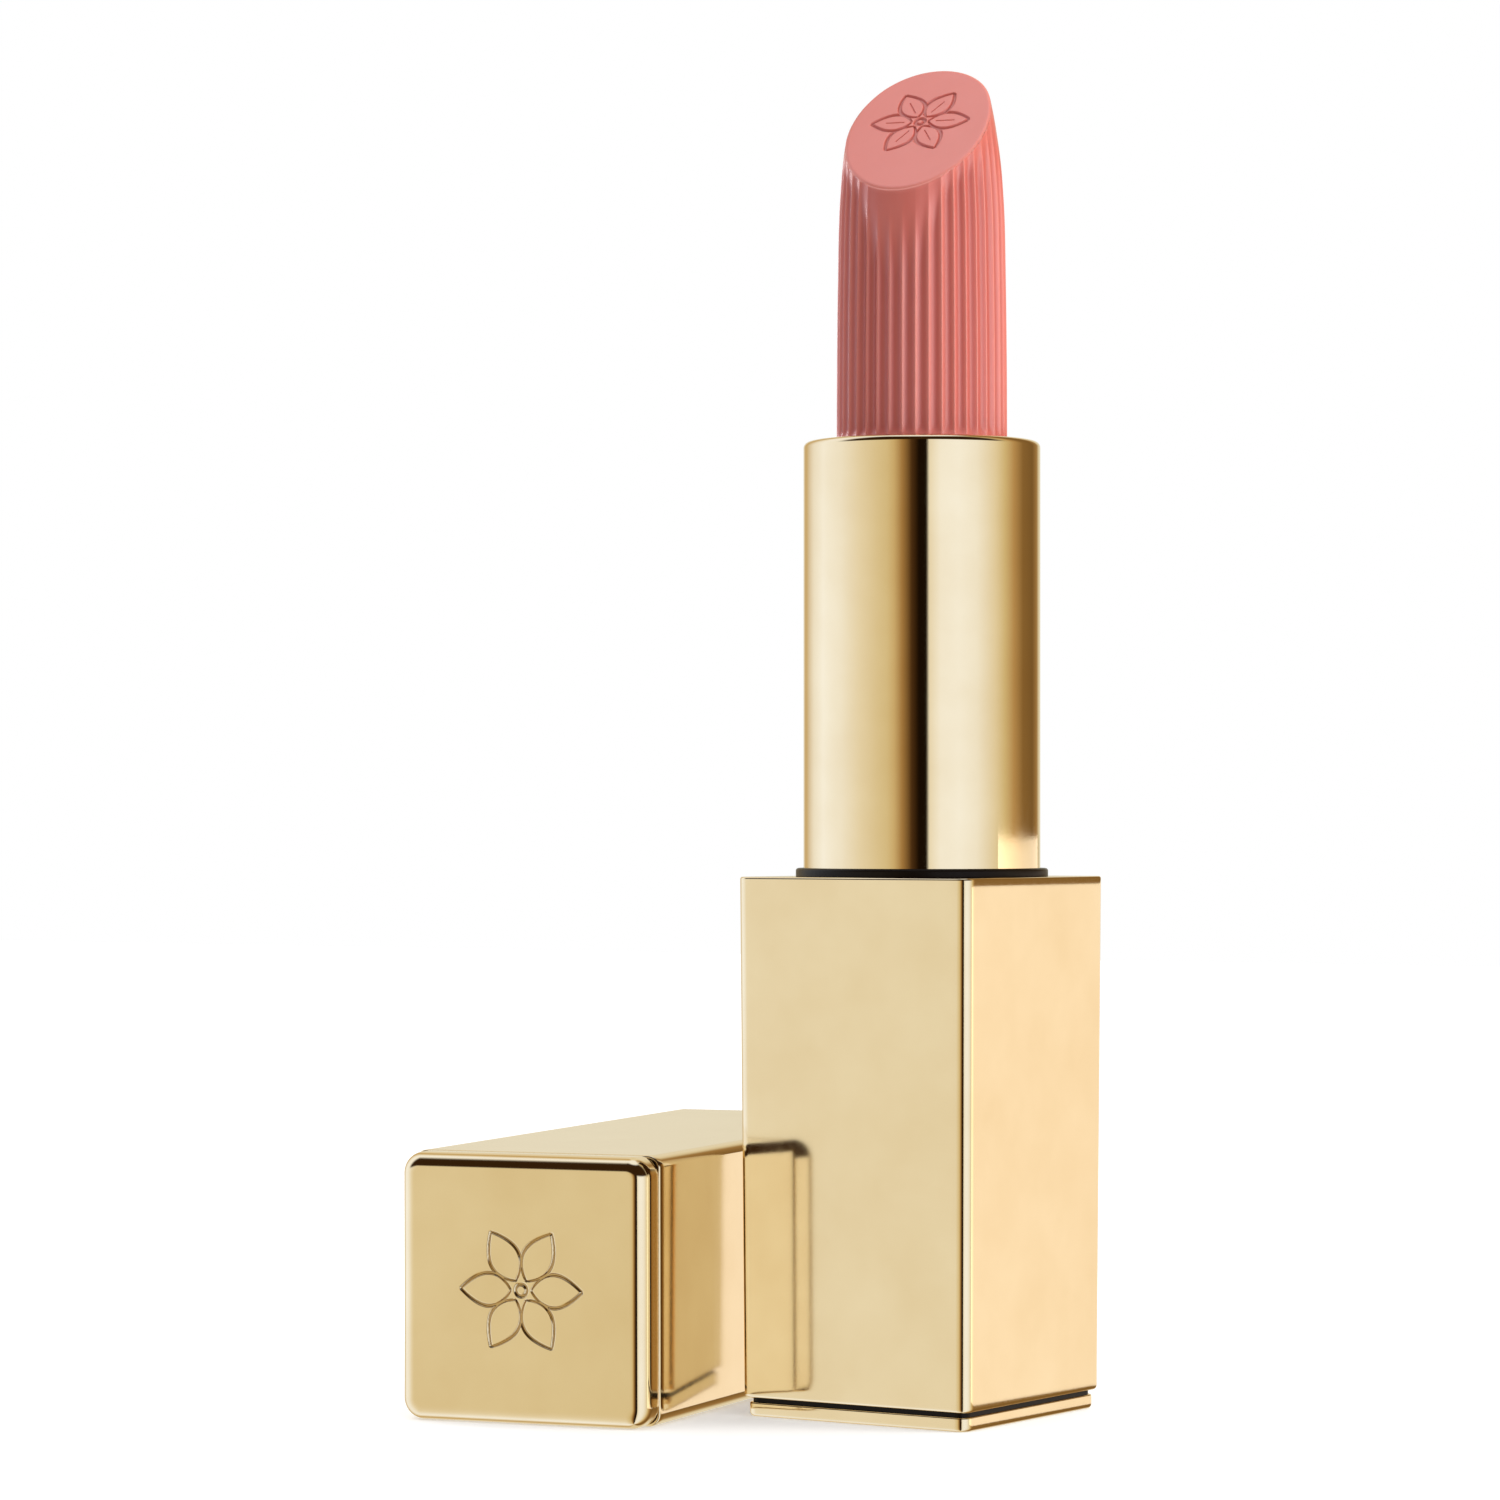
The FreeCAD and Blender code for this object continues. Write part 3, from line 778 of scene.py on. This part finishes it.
def tone(level):
    """The light at a level from 0, palest, to 9, darkest."""
    steps = np.arange(len(LIGHT))
    return tuple(float(np.interp(level, steps, channel)) for channel in zip(*LIGHT))


eye_reach = math.hypot(CAMERA_SIDE, CAMERA_BACK)
eye_side = CAMERA_SIDE / eye_reach
eye_away = -CAMERA_BACK / eye_reach

# The room: light that changes with bearing, as soft boxes and flags round a set do. Gloss sees it,
# matt surfaces are lit by an even fill, and behind the object the camera sees white.
world = bpy.data.worlds.new("studio_room")
bpy.context.scene.world = world
world.use_nodes = True
n = Nodes(world.node_tree)
direction = n.add("ShaderNodeTexCoord").outputs["Generated"]
to_camera = heading_point(eye_side, eye_away, 0.0).normalized()
to_right = heading_point(-eye_away, eye_side, 0.0).normalized()
bearing = n.math("ARCTAN2", n.dot(direction, to_right), n.dot(direction, to_camera))
turn_share = n.math("ADD", n.math("DIVIDE", bearing, 2.0 * math.pi), 0.5)
# (degrees round from the front of the set, level)
ROOM = [
    (-180, 3.4),
    (-168, 3.2),
    (-158, 5.0),
    (-150, 4.6),
    (-130, 2.2),
    (-112, 1.2),
    (-85, 1.8),
    (-63, 2.8),
    (-44, 3.5),
    (-34, 3.8),
    (-27, 4.5),
    (-19, 6.3),
    (-10, 8.0),
    (-3, 9.0),
    (5, 9.0),
    (7, 2.6),
    (18, 1.5),
    (36, 1.3),
    (55, 1.8),
    (76, 3.1),
    (88, 4.1),
    (101, 5.7),
    (116, 6.9),
    (136, 7.2),
    (150, 6.4),
    (160, 3.6),
    (170, 3.2),
    (180, 3.4),
]
room = n.ramp(turn_share, [(degrees / 360.0 + 0.5, tone(level)) for degrees, level in ROOM])
height = n.dot(direction, (0.0, 0.0, 1.0))
front = n.dot(direction, to_camera)


def step_up(value, low, high):
    """0 below low, 1 above high and a smooth change between."""
    node = n.add("ShaderNodeMapRange", interpolation_type="SMOOTHSTEP")
    n.link(value, node.inputs["Value"])
    node.inputs["From Min"].default_value = low
    node.inputs["From Max"].default_value = high
    return node.outputs[0]


# high up at the front the room is dark, and straight overhead a soft box hangs
dark_front = n.math("MULTIPLY", step_up(height, 0.12, 0.28), step_up(front, -0.1, 0.25))
light = n.mix(dark_front, room, tone(8.6))
light = n.mix(step_up(height, 0.90, 0.98), light, tone(1.5))
path = n.add("ShaderNodeLightPath")
side = n.dot(direction, to_right)
fill = n.mix(step_up(side, -0.85, 0.75), (0.28, 0.27, 0.28), (0.90, 0.88, 0.85))
fill = n.mix(step_up(height, 0.35, 0.85), fill, (1.18, 1.15, 1.12))
light = n.mix(path.outputs["Is Diffuse Ray"], light, fill)
shown = n.mix(path.outputs["Is Camera Ray"], light, (1.0, 1.0, 1.0))
background = n.add("ShaderNodeBackground")
n.link(shown, background.inputs["Color"])
background.inputs["Strength"].default_value = 1.0
out = n.add("ShaderNodeOutputWorld")
n.link(background.outputs[0], out.inputs["Surface"])


def area(name, spot, target, size, power, colour=(1, 1, 1), only=None, mirrored=False):
    """A soft lamp at spot, in mm, facing target. With only it lights that one piece.

    Gloss shows it when only or mirrored is given; otherwise it adds matt light alone.
    """
    data = bpy.data.lights.new(name, "AREA")
    data.shape = "RECTANGLE"
    data.size, data.size_y = size
    data.energy = power
    data.color = colour
    lamp = bpy.data.objects.new(name, data)
    bpy.context.collection.objects.link(lamp)
    lamp.location = heading_point(*spot)
    aim = heading_point(*target) - lamp.location
    lamp.rotation_euler = aim.to_track_quat("-Z", "Y").to_euler()
    lamp.visible_camera = False
    lamp.visible_glossy = mirrored or only is not None
    if only is not None:
        receivers = bpy.data.collections.new(name)
        receivers.objects.link(only)
        lamp.light_linking.receiver_collection = receivers
    return lamp


area("key_right", (300, -90, 150), (0, 0, 75), (0.10, 0.16), 0.40, (1.0, 0.98, 0.95))
area("rim_left", (-220, 150, 100), (0, 0, 80), (0.10, 0.20), 0.22, (0.95, 0.97, 1.0))
# a low soft box on the right, which the base mirrors and the tube above it doesn't
area("box_right", (184, 78, 4), (0, 0, 4), (0.30, 0.072), 0.058, (1.0, 0.98, 0.95), mirrored=True)
area("sheen_right", (160, -120, 95), (0, 0, 80), (0.12, 0.12), 0.10, (1.0, 1.0, 1.0), stick)
area("sheen_left", (-190, 170, 95), (0, 0, 80), (0.08, 0.14), 0.14, (0.95, 0.97, 1.0), stick)
area("face_box", (-8, -12, 165), (0, 0, 86), (0.07, 0.07), 0.014, (1.0, 0.98, 0.96), stick)

# --------------------------------------------------------------------- camera
camera_data = bpy.data.cameras.new("camera")
camera_data.sensor_width = SENSOR_WIDTH
camera_data.lens = LENS
camera_data.shift_y = HORIZON_DROP
camera_data.clip_start = 0.01
camera_data.clip_end = 50.0
camera = bpy.data.objects.new("camera", camera_data)
bpy.context.collection.objects.link(camera)
camera.location = heading_point(CAMERA_SIDE, -CAMERA_BACK, CAMERA_HEIGHT)
camera.rotation_euler = (math.pi / 2.0, 0.0, HEADING)
bpy.context.scene.camera = camera
bpy.context.scene.view_settings.view_transform = "Standard"
